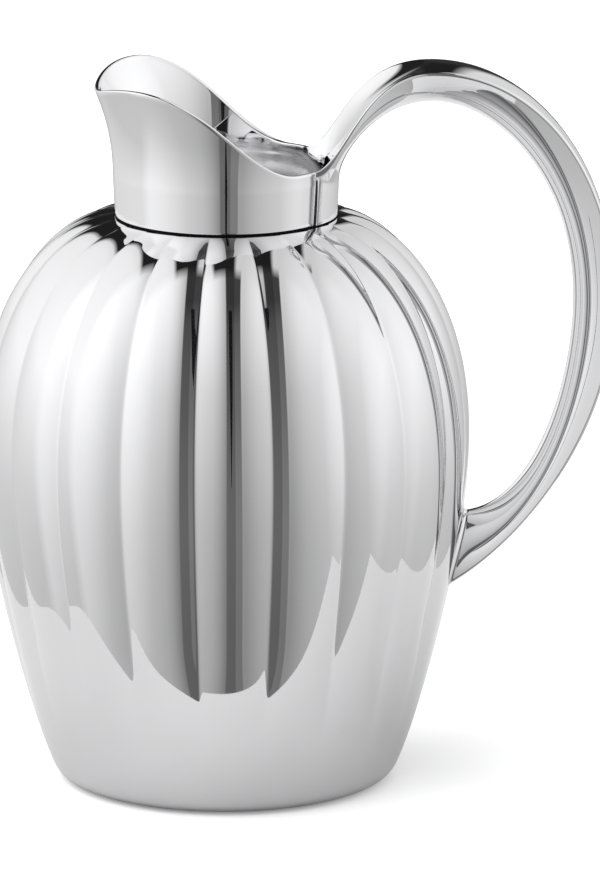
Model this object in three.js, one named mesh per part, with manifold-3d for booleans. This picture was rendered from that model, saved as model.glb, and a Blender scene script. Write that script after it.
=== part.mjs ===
// A lidless milk jug of mirror-polished stainless steel. A belly of rounded lobes carries a smooth
// collar with a pouring lip, and an open loop handle runs from the back of the collar to the belly.
// Millimetres, +Z up. The origin is the middle of the underside, +X points to the handle and the
// lip pours towards -X. Heights are measured from the surface that the jug stands on.
import * as THREE from 'three';
import { mergeVertices } from 'three/addons/utils/BufferGeometryUtils.js';
import Module from 'manifold-3d';

// Space left between pieces that are welded together on the real jug
const WELD_GAP = 0.3;

// Belly: a thin shell pressed into lobes, with a flat ring to stand on
const BELLY_RADIUS = 43.6;
const WIDEST_HEIGHT = 61.7;
const SEAM_HEIGHT = 101.8;
const NECK_BORE_RADIUS = 18.9;
const FOOT_RADIUS = 31.1;
const FOOT_HEIGHT = 3;
const STAND_RING_RADIUS = 26.7;
const STAND_RING_WIDTH = 2.4;
const BELLY_WALL = 0.8;

// How far each end of the belly's two outline curves runs straight on before it bends
const NECK_PULL = 9.7;
const NECK_RISE = 0.85;
const SHOULDER_PULL = 27.7;
const BELLY_PULL = 17.8;
const FOOT_PULL = 13.1;
const FOOT_SLOPE_DEGREES = 67.4;

// Lobes: shallow arcs side by side, with a crest under the handle and under the lip. They rise out of
// the smooth foot and fade away on the shoulder before the neck.
const LOBE_COUNT = 20;
const LOBE_DEPTH = 0.85;
const LOBE_START_HEIGHT = 7;
const LOBE_FULL_HEIGHT = 34;
const LOBE_FADE_RADIUS = 23.5;

// Base plate, let flush into the stand ring
const BASE_PLATE_THICKNESS = 1;
const BASE_EDGE_CHAMFER = 0.25;

// Collar: a drawn tube with a flared lip, on a spigot that plugs into the neck
const COLLAR_SEAM_RADIUS = 19.35;
const COLLAR_FLARE_START_RADIUS = 19.7;
const COLLAR_FLARE_START_RISE = 7.6;
const COLLAR_FLARE_ARC_RADIUS = 38;
const COLLAR_WALL = 1;
const SPIGOT_DEPTH = 4;
const SPIGOT_WALL = 0.8;
const RIM_CROWN = 0.3;

// Rim heights above the seam, and the angles from the handle at which the rim dips and crests
const RIM_DIP_RISE = 9.6;
const RIM_CREST_RISE = 25.2;
const LIP_TIP_RISE = 22.8;
const RIM_DIP_DEGREES = 50;
const RIM_CREST_DEGREES = 134;

// Handle, seen from the side: how far its outer face and its grip side reach
const HANDLE_TOP_HEIGHT = 128.7;
const ARCH_CENTRE_REACH = 36.6;
const HANDLE_REACH = 69.3;
const HANDLE_REACH_HEIGHT = 86.1;
const ARCH_THICKNESS = 6.7;
const GRIP_THICKNESS = 7.4;
const ROOT_STRAIGHT_RISE = 6.2;
const FOOT_TIP_HEIGHT = 35.8;
const FOOT_GRIP_HEIGHT = 47.6;
const FOOT_TIP_SLOPE_DEGREES = 31.6;
const FOOT_GRIP_SLOPE_DEGREES = 2.3;
const FOOT_SINK = 5;

// How far each end of the handle's curves runs straight on before it bends, on the outer face
const OUTER_RIM_PULL = 6;
const OUTER_CLIMB_PULL = 14.1;
const OUTER_ARCH_PULL = 17.8;
const OUTER_FALL_PULL = 24.8;
const OUTER_RETURN_PULL = 22.8;
const OUTER_FOOT_PULL = 15.3;

// The same on the grip side
const GRIP_ROOT_PULL = 5.4;
const GRIP_CLIMB_PULL = 10.8;
const GRIP_ARCH_PULL = 10.7;
const GRIP_FALL_PULL = 23;
const GRIP_RETURN_PULL = 15.4;
const GRIP_FOOT_PULL = 12.6;

// Handle sections: width of the outer face, its crown, its edge thickness, and how far the middle of
// the root stands proud of the collar
const ROOT_WIDTH = 24;
const ARCH_WIDTH = 13.4;
const GRIP_WIDTH = 11.6;
const FOOT_WIDTH = 12.4;
const ROOT_PROUD = 0.6;
const OUTER_FACE_CROWN = 0.4;
const EDGE_THICKNESS = 0.85;

// Powers of the grip side's curve: 2 is half an ellipse, and more gives flatter sides
const ARCH_POWER = 2.3;
const GRIP_POWER = 2.8;
const FOOT_POWER = 2;

// How the section changes on the climb from root to arch: how much of the full D the grip side has at
// the root, the power of the share climbed by which the wall thickens, and the share by which the
// edges are thin
const ROOT_ROUNDNESS = 0.8;
const WALL_GROWTH_POWER = 2.5;
const EDGE_THIN_SHARE = 0.35;

// Facets
const COLUMNS_PER_LOBE = 6;
const OUTSIDE_STEPS = { ring: 1, corner: 2, belly: 7, shoulder: 9 };
const INSIDE_STEPS = { ring: 1, corner: 1, belly: 4, shoulder: 5 };
const BASE_COLUMNS = 72;
const COLLAR_COLUMNS = 72;
const COLLAR_OUTSIDE_STEPS = 6;
const COLLAR_INSIDE_STEPS = 5;
const HANDLE_STEPS = { root: 3, climb: 12, fall: 14, back: 14, sink: 1 };
const FACE_STEPS = 5;
const GRIP_STEPS = 10;
const MERGE_DISTANCE = 1e-4;
const HEIGHT_HALVINGS = 40;

const wasm = await Module();
wasm.setup();

const lerp = THREE.MathUtils.lerp;
const smoothstep = THREE.MathUtils.smoothstep;
const radians = THREE.MathUtils.degToRad;

// Joins rows of points into one closed geometry. Every row is a closed ring of equal length. The
// rows close on themselves, as round a torus, or end in flat fans.
function skin(rows, closed) {
  const count = rows[0].length;
  const positions = rows.flat().flatMap((p) => [p.x, p.y, p.z]);
  const index = [];
  const last = closed ? rows.length : rows.length - 1;
  for (let i = 0; i < last; i += 1) {
    const next = (i + 1) % rows.length;
    for (let j = 0; j < count; j += 1) {
      const k = (j + 1) % count;
      const a = i * count + j;
      const b = i * count + k;
      const c = next * count + k;
      const d = next * count + j;
      index.push(a, b, c, a, c, d);
    }
  }
  if (!closed) {
    const end = (rows.length - 1) * count;
    for (let j = 1; j < count - 1; j += 1) {
      index.push(0, j + 1, j);
      index.push(end, end + j, end + j + 1);
    }
  }
  const geometry = new THREE.BufferGeometry();
  geometry.setAttribute('position', new THREE.Float32BufferAttribute(positions, 3));
  geometry.setIndex(index);
  return geometry;
}

function solid(geometry) {
  const bare = geometry.clone();
  bare.deleteAttribute('normal');
  bare.deleteAttribute('uv');
  const merged = mergeVertices(bare, MERGE_DISTANCE);
  return new wasm.Manifold(new wasm.Mesh({
    numProp: 3,
    vertProperties: merged.attributes.position.array,
    triVerts: new Uint32Array(merged.index.array),
  }));
}

function geometryOf(manifold) {
  const mesh = manifold.getMesh();
  const geometry = new THREE.BufferGeometry();
  geometry.setAttribute('position', new THREE.BufferAttribute(mesh.vertProperties, 3));
  geometry.setIndex(new THREE.BufferAttribute(mesh.triVerts, 1));
  return geometry;
}

function cubic(x0, z0, x1, z1, x2, z2, x3, z3) {
  return new THREE.CubicBezierCurve(
    new THREE.Vector2(x0, z0),
    new THREE.Vector2(x1, z1),
    new THREE.Vector2(x2, z2),
    new THREE.Vector2(x3, z3),
  );
}

// Belly outline along the lobes' crests, as radius and height, from the stand ring to the neck
const footSlope = radians(FOOT_SLOPE_DEGREES);
const footCornerRadius = FOOT_RADIUS - FOOT_HEIGHT / Math.tan(footSlope);
const standRing = new THREE.LineCurve(
  new THREE.Vector2(STAND_RING_RADIUS - STAND_RING_WIDTH, 0),
  new THREE.Vector2(STAND_RING_RADIUS, 0),
);
const footCorner = new THREE.QuadraticBezierCurve(
  new THREE.Vector2(STAND_RING_RADIUS, 0),
  new THREE.Vector2(footCornerRadius, 0),
  new THREE.Vector2(FOOT_RADIUS, FOOT_HEIGHT),
);
const belly = cubic(
  FOOT_RADIUS,
  FOOT_HEIGHT,
  FOOT_RADIUS + FOOT_PULL * Math.cos(footSlope),
  FOOT_HEIGHT + FOOT_PULL * Math.sin(footSlope),
  BELLY_RADIUS,
  WIDEST_HEIGHT - BELLY_PULL,
  BELLY_RADIUS,
  WIDEST_HEIGHT,
);
const shoulder = cubic(
  BELLY_RADIUS,
  WIDEST_HEIGHT,
  BELLY_RADIUS,
  WIDEST_HEIGHT + SHOULDER_PULL,
  NECK_BORE_RADIUS + NECK_PULL,
  SEAM_HEIGHT + NECK_RISE,
  NECK_BORE_RADIUS,
  SEAM_HEIGHT,
);

// A point of the outline with its outward normal and the share of the lobes' depth there
function outlinePoint(curve, t) {
  const point = curve.getPoint(t);
  const along = curve.getTangent(t);
  const grown = smoothstep(point.y, LOBE_START_HEIGHT, LOBE_FULL_HEIGHT);
  const faded = smoothstep(point.x, NECK_BORE_RADIUS, LOBE_FADE_RADIUS);
  return {
    radius: point.x,
    height: point.y,
    normal: new THREE.Vector2(along.y, -along.x),
    depth: LOBE_DEPTH * grown * faded * Math.min(1, point.x / BELLY_RADIUS),
  };
}

function outlinePoints(curve, steps) {
  return Array.from({ length: steps }, (_, i) => outlinePoint(curve, i / steps));
}

function sideOutline(steps) {
  return [
    ...outlinePoints(belly, steps.belly),
    ...outlinePoints(shoulder, steps.shoulder),
    outlinePoint(shoulder, 1),
  ];
}

function wholeOutline(steps) {
  return [
    ...outlinePoints(standRing, steps.ring),
    ...outlinePoints(footCorner, steps.corner),
    ...sideOutline(steps),
  ];
}

// One ring of the belly: the outline point carried round, pressed in between the crests and moved
// out along its normal by the offset
function bellyRing(point, offset) {
  const columns = LOBE_COUNT * COLUMNS_PER_LOBE;
  return Array.from({ length: columns }, (_, j) => {
    const angle = (j / columns) * 2 * Math.PI;
    const acrossLobe = 2 * ((j / COLUMNS_PER_LOBE + 0.5) % 1) - 1;
    const move = offset - point.depth * acrossLobe ** 2;
    const radius = point.radius + move * point.normal.x;
    const height = point.height + move * point.normal.y;
    return new THREE.Vector3(radius * Math.cos(angle), radius * Math.sin(angle), height);
  });
}

function makeBelly() {
  const outside = wholeOutline(OUTSIDE_STEPS).map((point) => bellyRing(point, 0));
  const inside = wholeOutline(INSIDE_STEPS).map((point) => bellyRing(point, -BELLY_WALL));
  return skin([...outside, ...inside.reverse()], true);
}

// The belly without its hollow, larger all round by the weld gap, for fitting the handle's foot
function bellyClearance() {
  const rings = sideOutline(OUTSIDE_STEPS).map((point) => bellyRing(point, WELD_GAP));
  return solid(skin(rings, false));
}

// Radius of the belly's crests at a height below the neck
function crestRadius(height) {
  const curve = height < WIDEST_HEIGHT ? belly : shoulder;
  const ends = [0, 1];
  for (let i = 0; i < HEIGHT_HALVINGS; i += 1) {
    const middle = (ends[0] + ends[1]) / 2;
    ends[curve.getPoint(middle).y < height ? 0 : 1] = middle;
  }
  return curve.getPoint(ends[0]).x;
}

function makeBasePlate() {
  const radius = STAND_RING_RADIUS - STAND_RING_WIDTH - WELD_GAP;
  const profile = [
    new THREE.Vector2(0, 0),
    new THREE.Vector2(radius - BASE_EDGE_CHAMFER, 0),
    new THREE.Vector2(radius, BASE_EDGE_CHAMFER),
    new THREE.Vector2(radius, BASE_PLATE_THICKNESS),
    new THREE.Vector2(0, BASE_PLATE_THICKNESS),
  ];
  return new THREE.LatheGeometry(profile, BASE_COLUMNS).rotateX(Math.PI / 2);
}

// Outside radius of the collar at a height: a slight taper, then the arc of the flare
const collarFoot = SEAM_HEIGHT + WELD_GAP;
const flareStart = SEAM_HEIGHT + COLLAR_FLARE_START_RISE;
function collarRadius(height) {
  if (height < flareStart) {
    const share = (height - SEAM_HEIGHT) / COLLAR_FLARE_START_RISE;
    return lerp(COLLAR_SEAM_RADIUS, COLLAR_FLARE_START_RADIUS, share);
  }
  const above = Math.min(height - flareStart, COLLAR_FLARE_ARC_RADIUS);
  const arc = COLLAR_FLARE_ARC_RADIUS;
  return COLLAR_FLARE_START_RADIUS + arc - Math.sqrt(arc ** 2 - above ** 2);
}

// Rim height by the angle from the handle: level at the back, a half wave up to the crest beside
// the lip, and a half wave down to the lip's tip
function rimHeight(angle) {
  const away = Math.abs(Math.atan2(Math.sin(angle), Math.cos(angle)));
  const dip = radians(RIM_DIP_DEGREES);
  const crest = radians(RIM_CREST_DEGREES);
  const climb = THREE.MathUtils.clamp((away - dip) / (crest - dip), 0, 1);
  const fall = THREE.MathUtils.clamp((away - crest) / (Math.PI - crest), 0, 1);
  const wave = (share) => (1 - Math.cos(Math.PI * share)) / 2;
  const rise = lerp(RIM_DIP_RISE, RIM_CREST_RISE, wave(climb));
  return SEAM_HEIGHT + rise - (RIM_CREST_RISE - LIP_TIP_RISE) * wave(fall);
}

const spigotRadius = NECK_BORE_RADIUS - WELD_GAP;
const spigotEnd = SEAM_HEIGHT - SPIGOT_DEPTH;

// The collar's section at one angle, from the spigot up the outside, over the rim and down inside
function collarSection(angle) {
  const rim = rimHeight(angle);
  const insideFoot = collarFoot + COLLAR_WALL;
  const outside = Array.from({ length: COLLAR_OUTSIDE_STEPS + 1 }, (_, i) => {
    const height = lerp(collarFoot, rim, i / COLLAR_OUTSIDE_STEPS);
    return [collarRadius(height), height];
  });
  const inside = Array.from({ length: COLLAR_INSIDE_STEPS + 1 }, (_, i) => {
    const height = lerp(rim, insideFoot, i / COLLAR_INSIDE_STEPS);
    return [collarRadius(height) - COLLAR_WALL, height];
  });
  const crown = [collarRadius(rim) - COLLAR_WALL / 2, rim + RIM_CROWN];
  const spigotInside = spigotRadius - SPIGOT_WALL;
  return [
    [spigotInside, spigotEnd],
    [spigotRadius, spigotEnd],
    [spigotRadius, collarFoot],
    ...outside,
    crown,
    ...inside,
    [spigotInside, collarFoot],
  ];
}

const rootHalfWidth = ROOT_WIDTH / 2;

function makeCollar() {
  const sections = Array.from({ length: COLLAR_COLUMNS }, (_, j) => {
    const angle = (j / COLLAR_COLUMNS) * 2 * Math.PI;
    return collarSection(angle).map(([radius, height]) =>
      new THREE.Vector3(radius * Math.cos(angle), radius * Math.sin(angle), height));
  });
  const rings = sections[0].map((_, i) => sections.map((section) => section[i]));
  const tube = solid(skin(rings, true));

  // The slot at the back that takes the handle's root, open upwards
  const length = 2 * COLLAR_FLARE_START_RADIUS;
  const depth = RIM_CREST_RISE + RIM_CROWN;
  const slotBox = new THREE.BoxGeometry(length, ROOT_WIDTH + 2 * WELD_GAP, depth);
  slotBox.translate(length / 2, 0, collarFoot + depth / 2);
  return geometryOf(tube.subtract(solid(slotBox)));
}

// Handle root: a piece of the collar's wall from the slot's floor up to the rim, flush inside and at
// its edges, and rounded out between them into a low D
const rootFloor = collarFoot + WELD_GAP;
const rootBend = SEAM_HEIGHT + ROOT_STRAIGHT_RISE;
const rootRim = SEAM_HEIGHT + RIM_DIP_RISE;
const rootWall = COLLAR_WALL + ROOT_PROUD;

function rootOutside(height) {
  return collarRadius(height) + ROOT_PROUD;
}

// How far from the axis plane a circle is where the root's edges cross it
function edgeReach(radius) {
  return Math.sqrt(radius ** 2 - rootHalfWidth ** 2);
}

function rootEdge(height) {
  return edgeReach(collarRadius(height) - COLLAR_WALL);
}

const rootEdgeThickness = edgeReach(collarRadius(rootFloor)) - rootEdge(rootFloor);

// Where a line of the handle meets the belly's crest, and where it ends inside the belly
function footEnds(height, slopeDegrees) {
  const slope = radians(slopeDegrees);
  const meets = new THREE.Vector2(crestRadius(height), height);
  const along = new THREE.Vector2(Math.cos(slope), Math.sin(slope));
  return { meets, along, inside: meets.clone().addScaledVector(along, -FOOT_SINK) };
}

// The edge line of the outer face: up the root to the rim, over to the arch, out to the reach, back
// to the foot's tip and on into the belly
function outerLine() {
  const rim = new THREE.Vector2(rootEdge(rootRim), rootRim);
  const top = HANDLE_TOP_HEIGHT - OUTER_FACE_CROWN;
  const reach = HANDLE_REACH - OUTER_FACE_CROWN;
  const foot = footEnds(FOOT_TIP_HEIGHT, FOOT_TIP_SLOPE_DEGREES);
  const footBend = foot.meets.clone().addScaledVector(foot.along, OUTER_FOOT_PULL);
  return [
    new THREE.LineCurve(new THREE.Vector2(rootEdge(rootFloor), rootFloor), rim),
    cubic(rim.x, rim.y, rim.x + OUTER_RIM_PULL, rim.y, ARCH_CENTRE_REACH - OUTER_CLIMB_PULL, top,
      ARCH_CENTRE_REACH, top),
    cubic(ARCH_CENTRE_REACH, top, ARCH_CENTRE_REACH + OUTER_ARCH_PULL, top, reach,
      HANDLE_REACH_HEIGHT + OUTER_FALL_PULL, reach, HANDLE_REACH_HEIGHT),
    cubic(reach, HANDLE_REACH_HEIGHT, reach, HANDLE_REACH_HEIGHT - OUTER_RETURN_PULL, footBend.x,
      footBend.y, foot.meets.x, foot.meets.y),
    new THREE.LineCurve(foot.meets, foot.inside),
  ];
}

// The crown of the grip side, in the same five stretches
function gripLine() {
  const bend = new THREE.Vector2(rootOutside(rootBend), rootBend);
  const top = HANDLE_TOP_HEIGHT - ARCH_THICKNESS;
  const reach = HANDLE_REACH - GRIP_THICKNESS;
  const foot = footEnds(FOOT_GRIP_HEIGHT, FOOT_GRIP_SLOPE_DEGREES);
  const footBend = foot.meets.clone().addScaledVector(foot.along, GRIP_FOOT_PULL);
  return [
    new THREE.LineCurve(new THREE.Vector2(rootOutside(rootFloor), rootFloor), bend),
    cubic(bend.x, bend.y, bend.x, bend.y + GRIP_ROOT_PULL, ARCH_CENTRE_REACH - GRIP_CLIMB_PULL, top,
      ARCH_CENTRE_REACH, top),
    cubic(ARCH_CENTRE_REACH, top, ARCH_CENTRE_REACH + GRIP_ARCH_PULL, top, reach,
      HANDLE_REACH_HEIGHT + GRIP_FALL_PULL, reach, HANDLE_REACH_HEIGHT),
    cubic(reach, HANDLE_REACH_HEIGHT, reach, HANDLE_REACH_HEIGHT - GRIP_RETURN_PULL, footBend.x,
      footBend.y, foot.meets.x, foot.meets.y),
    new THREE.LineCurve(foot.meets, foot.inside),
  ];
}

// Depth, at a share across, of an arc of a circle that spans the half width with the given rise. The
// form of the formula also holds for a flat or a hollow arc.
function arcDepth(rise, half, across) {
  if (across ** 2 >= 1) {
    return 0;
  }
  const spread = half ** 2 + rise ** 2;
  const level = half ** 2 - rise ** 2;
  const reach = Math.sqrt(spread ** 2 - (2 * rise * half * across) ** 2);
  return (2 * rise * half ** 2 * (1 - across ** 2)) / (reach + level);
}

// The handle is a loft between the two lines. Its section is a strip of wall with a rounded back at
// the root, thickens on the way up and is a D with flattened sides from the arch to the foot.
function makeHandle() {
  const outer = outerLine();
  const grip = gripLine();
  const widths = [ROOT_WIDTH, ROOT_WIDTH, ARCH_WIDTH, GRIP_WIDTH, FOOT_WIDTH, FOOT_WIDTH];
  const powers = [ARCH_POWER, ARCH_POWER, ARCH_POWER, GRIP_POWER, FOOT_POWER, FOOT_POWER];
  const steps = Object.values(HANDLE_STEPS);

  const section = (stretch, t) => {
    const edgePoint = outer[stretch].getPoint(t);
    const crownPoint = grip[stretch].getPoint(t);
    const climb = THREE.MathUtils.clamp(stretch - 1 + t, 0, 1);
    const widthShare = stretch === 1 ? smoothstep(t * t, 0, 1) : smoothstep(t, 0, 1);
    const half = lerp(widths[stretch], widths[stretch + 1], widthShare) / 2;
    const power = lerp(powers[stretch], powers[stretch + 1], smoothstep(t, 0, 1));
    const depth = crownPoint.distanceTo(edgePoint);
    const wall = lerp(rootWall, ARCH_THICKNESS, climb ** WALL_GROWTH_POWER);
    const hollow = climb < 1 ? depth - wall : -OUTER_FACE_CROWN;
    const edge = lerp(rootEdgeThickness, EDGE_THICKNESS, smoothstep(climb, 0, EDGE_THIN_SHARE));
    const roundness = lerp(ROOT_ROUNDNESS, 1, smoothstep(climb, 0, 1));
    const inward = crownPoint.clone().sub(edgePoint).normalize();
    const place = (across, deep) => new THREE.Vector3(
      edgePoint.x + inward.x * deep,
      across * half,
      edgePoint.y + inward.y * deep,
    );
    const face = Array.from({ length: FACE_STEPS + 1 }, (_, i) => {
      const across = 1 - (2 * i) / FACE_STEPS;
      return place(across, arcDepth(hollow, half, across));
    });
    const gripSide = Array.from({ length: GRIP_STEPS + 1 }, (_, i) => {
      const across = -Math.cos((Math.PI * i) / GRIP_STEPS);
      const arc = arcDepth(depth - edge, half, across);
      const full = (depth - edge) * (1 - Math.abs(across) ** power) ** (1 / power);
      return place(across, edge + lerp(arc, full, roundness));
    });
    return [...face, ...gripSide];
  };

  const rows = steps.flatMap((count, stretch) =>
    Array.from({ length: count }, (_, i) => section(stretch, i / count)));
  rows.push(section(steps.length - 1, 1));
  return geometryOf(solid(skin(rows, false)).subtract(bellyClearance()));
}

const jug = new THREE.Group();

function add(name, geometry, colour, roughness) {
  const material = new THREE.MeshStandardMaterial({ color: colour, roughness, metalness: 1 });
  const mesh = new THREE.Mesh(geometry, material);
  mesh.name = name;
  jug.add(mesh);
}

add('lobed_belly', makeBelly(), 0xd4d6d8, 0.06);
add('base_plate', makeBasePlate(), 0xb9bbbd, 0.3);
add('pouring_collar', makeCollar(), 0xd6d8da, 0.05);
add('loop_handle', makeHandle(), 0xd8dadc, 0.05);

export default jug;
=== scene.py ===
import math

import bpy
import numpy as np
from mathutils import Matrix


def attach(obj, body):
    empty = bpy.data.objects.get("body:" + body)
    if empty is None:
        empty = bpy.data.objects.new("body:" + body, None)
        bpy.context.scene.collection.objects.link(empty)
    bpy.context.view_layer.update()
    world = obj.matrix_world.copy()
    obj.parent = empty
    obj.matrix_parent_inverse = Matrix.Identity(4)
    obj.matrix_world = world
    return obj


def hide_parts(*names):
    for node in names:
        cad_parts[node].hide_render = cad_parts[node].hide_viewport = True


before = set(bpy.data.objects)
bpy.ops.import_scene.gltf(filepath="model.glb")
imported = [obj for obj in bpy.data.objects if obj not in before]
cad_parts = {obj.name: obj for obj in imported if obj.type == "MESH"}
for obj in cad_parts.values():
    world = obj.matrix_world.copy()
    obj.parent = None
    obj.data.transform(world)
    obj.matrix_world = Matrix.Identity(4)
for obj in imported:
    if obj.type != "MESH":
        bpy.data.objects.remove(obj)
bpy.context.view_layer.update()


# Belly: a thin shell of stainless steel, pressed into shallow lobes side by side that fade out above
# the foot and below the neck, with a flat ring turned in to stand on. It is buffed to a mirror
# outside, along the lobes, and left satin inside.
BELLY_RADIUS = 0.0436
WIDEST_HEIGHT = 0.0617
SEAM_HEIGHT = 0.1018
NECK_BORE_RADIUS = 0.0189
FOOT_RADIUS = 0.0311
FOOT_HEIGHT = 0.003
FOOT_SLOPE = math.radians(67.4)
STAND_RING_RADIUS = 0.0267
STAND_RING_WIDTH = 0.0024
BELLY_WALL = 0.0008

NECK_PULL = 0.0097
NECK_RISE = 0.00085
SHOULDER_PULL = 0.0277
BELLY_PULL = 0.0178
FOOT_PULL = 0.0131

LOBE_COUNT = 20
LOBE_DEPTH = 0.00085
LOBE_START_HEIGHT = 0.007
LOBE_FULL_HEIGHT = 0.034
LOBE_FADE_RADIUS = 0.0235
VALLEY_FILLET = 0.06
# Width of the band at the neck bore that is painted near black, as shade in the seam.
SEAM_SHADE_WIDTH = 0.00035
COLUMNS_PER_LOBE = 24
OUTSIDE_ROWS = (3, 10, 62, 74)
INSIDE_ROWS = (2, 4, 14, 16)
SHARP_EDGE = math.radians(50)


def bezier(points, share):
    """A Bezier curve: neighbouring points are drawn together by the share, again and again, until
    two are left. Returns the places between those two and the unit directions from one to the other,
    a row for each share."""
    share = share[:, None]
    layer = [np.asarray(point, float) + 0 * share for point in points]
    while len(layer) > 2:
        layer = [a + (b - a) * share for a, b in zip(layer, layer[1:])]
    along = layer[1] - layer[0]
    places = layer[0] + along * share
    return places, along / np.linalg.norm(along, axis=1, keepdims=True)


def smooth(value, low, high):
    """An S-shaped rise from 0 at low to 1 at high: three times the square of the share between them
    less twice its cube."""
    share = np.clip((value - low) / (high - low), 0, 1)
    return share * share * (3 - 2 * share)


def belly_outline(rows):
    """Outline along the crests, as radius and height, with its outward normals: a straight ring, a
    rounded corner, the side up to the widest place and the shoulder, each a Bezier curve."""
    lean = (math.cos(FOOT_SLOPE), math.sin(FOOT_SLOPE))
    ring = [(STAND_RING_RADIUS - STAND_RING_WIDTH, 0), (STAND_RING_RADIUS, 0)]
    corner = [
        ring[1],
        (FOOT_RADIUS - FOOT_HEIGHT * lean[0] / lean[1], 0),
        (FOOT_RADIUS, FOOT_HEIGHT),
    ]
    side = [
        corner[2],
        (FOOT_RADIUS + FOOT_PULL * lean[0], FOOT_HEIGHT + FOOT_PULL * lean[1]),
        (BELLY_RADIUS, WIDEST_HEIGHT - BELLY_PULL),
        (BELLY_RADIUS, WIDEST_HEIGHT),
    ]
    shoulder = [
        side[3],
        (BELLY_RADIUS, WIDEST_HEIGHT + SHOULDER_PULL),
        (NECK_BORE_RADIUS + NECK_PULL, SEAM_HEIGHT + NECK_RISE),
        (NECK_BORE_RADIUS, SEAM_HEIGHT),
    ]
    curves = (ring, corner, side, shoulder)
    shares = [np.linspace(0, 1, count, endpoint=False) for count in rows]
    shares[-1] = np.append(shares[-1], 1)
    traced = [bezier(points, share) for points, share in zip(curves, shares)]
    places = np.vstack([place for place, _ in traced])
    along = np.vstack([direction for _, direction in traced])
    return places, np.column_stack([along[:, 1], -along[:, 0]])


def lobe_press(turn):
    """How far a lobe is pressed in, by the turn round the axis: the square of the share across the
    lobe, from 0 on a crest to nearly 1 in a valley, where a narrow fillet levels it out."""
    across = np.abs(2 * ((turn * LOBE_COUNT + 0.5) % 1) - 1)
    flank = 1 - VALLEY_FILLET
    into_fillet = np.maximum(across - flank, 0)
    arc = np.minimum(across, flank) ** 2
    return arc + 2 * flank * into_fillet - flank * into_fillet**2 / VALLEY_FILLET


def lobe_depth(radius, height):
    """Depth of the valleys: full at the widest place, less on the shoulder in step with the radius,
    and nothing at the neck and below the height where the lobes start."""
    grown = smooth(height, LOBE_START_HEIGHT, LOBE_FULL_HEIGHT)
    faded = smooth(radius, NECK_BORE_RADIUS, LOBE_FADE_RADIUS)
    return LOBE_DEPTH * grown * faded * np.minimum(1, radius / BELLY_RADIUS)


def belly_skin(rows, offset):
    """The belly as a grid: the crest outline turned round the axis and moved along its own normal,
    in by the depth of the lobes and out by the offset. Columns crowd towards the valleys by a sine."""
    places, normals = belly_outline(rows)
    across = np.sin(np.linspace(-1, 1, COLUMNS_PER_LOBE, endpoint=False) * math.pi / 2)
    turn = ((np.arange(LOBE_COUNT)[:, None] + across / 2) / LOBE_COUNT).ravel()
    depth = lobe_depth(places[:, 0], places[:, 1])
    move = offset - depth[:, None] * lobe_press(turn)
    radius = places[:, :1] + move * normals[:, :1]
    height = places[:, 1:] + move * normals[:, 1:]
    angle = 2 * math.pi * turn
    return np.stack([radius * np.cos(angle), radius * np.sin(angle), height], axis=-1)


def ring_mesh(name, grid, joined):
    """A mesh over a grid whose rows are closed rings. The last row is joined to the first, as round
    a tyre, or both end rows are closed by flat faces. Its UV map holds lengths in metres: round the
    mean ring across, and from row to row along."""
    count, columns = grid.shape[:2]
    number = np.arange(count * columns).reshape(count, columns)
    rows = np.vstack([number, number[:1]]) if joined else number
    onward = np.roll(rows, -1, axis=1)
    quads = np.stack([rows[:-1], onward[:-1], onward[1:], rows[1:]], axis=-1)
    faces = quads.reshape(-1, 4).tolist()
    if not joined:
        faces += [number[0, ::-1].tolist(), number[-1].tolist()]
    mesh = bpy.data.meshes.new(name)
    mesh.from_pydata(grid.reshape(-1, 3), [], faces)

    places = grid.reshape(-1, 3)[rows]
    girth = np.linalg.norm(places[:, 1:] - places[:, :-1], axis=2).sum(axis=1).mean()
    steps = np.linalg.norm(places[1:] - places[:-1], axis=2).mean(axis=1)
    along = np.concatenate([[0], np.cumsum(steps)])
    across = np.linspace(0, girth, columns + 1)
    corners = np.zeros((len(mesh.loops), 2))
    shape = (len(along) - 1, columns, 4)
    round_ring = np.stack([across[:-1], across[1:], across[1:], across[:-1]], axis=-1)
    from_row = np.stack([along[:-1], along[:-1], along[1:], along[1:]], axis=-1)
    corners[:quads.size, 0] = np.broadcast_to(round_ring[None], shape).ravel()
    corners[:quads.size, 1] = np.broadcast_to(from_row[:, None], shape).ravel()
    mesh.uv_layers.new(name="lengths").uv.foreach_set("vector", corners.ravel())

    mesh.shade_smooth()
    mesh.set_sharp_from_angle(angle=SHARP_EDGE)
    return mesh


def mark(mesh, name, values):
    """Writes one number for each point of a mesh, for its material to read."""
    layer = mesh.attributes.new(name, "FLOAT", "POINT")
    layer.data.foreach_set("value", np.ascontiguousarray(values, dtype=np.float32).ravel())


def show(mesh, material):
    """Puts a mesh into the scene as a piece of the jug, on the jug's one body."""
    piece = bpy.data.objects.new(mesh.name, mesh)
    bpy.context.scene.collection.objects.link(piece)
    mesh.materials.append(material)
    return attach(piece, "root")


def finish_group(name):
    """An empty node group for a metal finish: two colours and a roughness go in, and the colour, the
    roughness and a fine height at each place come out."""
    group = bpy.data.node_groups.new(name, "ShaderNodeTree")
    for socket, kind in (("Bright", "Color"), ("Dull", "Color"), ("Roughness", "Float")):
        group.interface.new_socket(socket, in_out="INPUT", socket_type="NodeSocket" + kind)
    for socket, kind in (("Color", "Color"), ("Roughness", "Float"), ("Height", "Float")):
        group.interface.new_socket(socket, in_out="OUTPUT", socket_type="NodeSocket" + kind)
    return group, group.nodes.new("NodeGroupInput"), group.nodes.new("NodeGroupOutput")


def math_node(tree, operation, *values):
    """One step of arithmetic in a node tree, on sockets or plain numbers."""
    node = tree.nodes.new("ShaderNodeMath")
    node.operation = operation
    for socket, value in zip(node.inputs, values):
        if isinstance(value, bpy.types.NodeSocket):
            tree.links.new(value, socket)
        else:
            socket.default_value = value
    return node.outputs[0]


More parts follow.
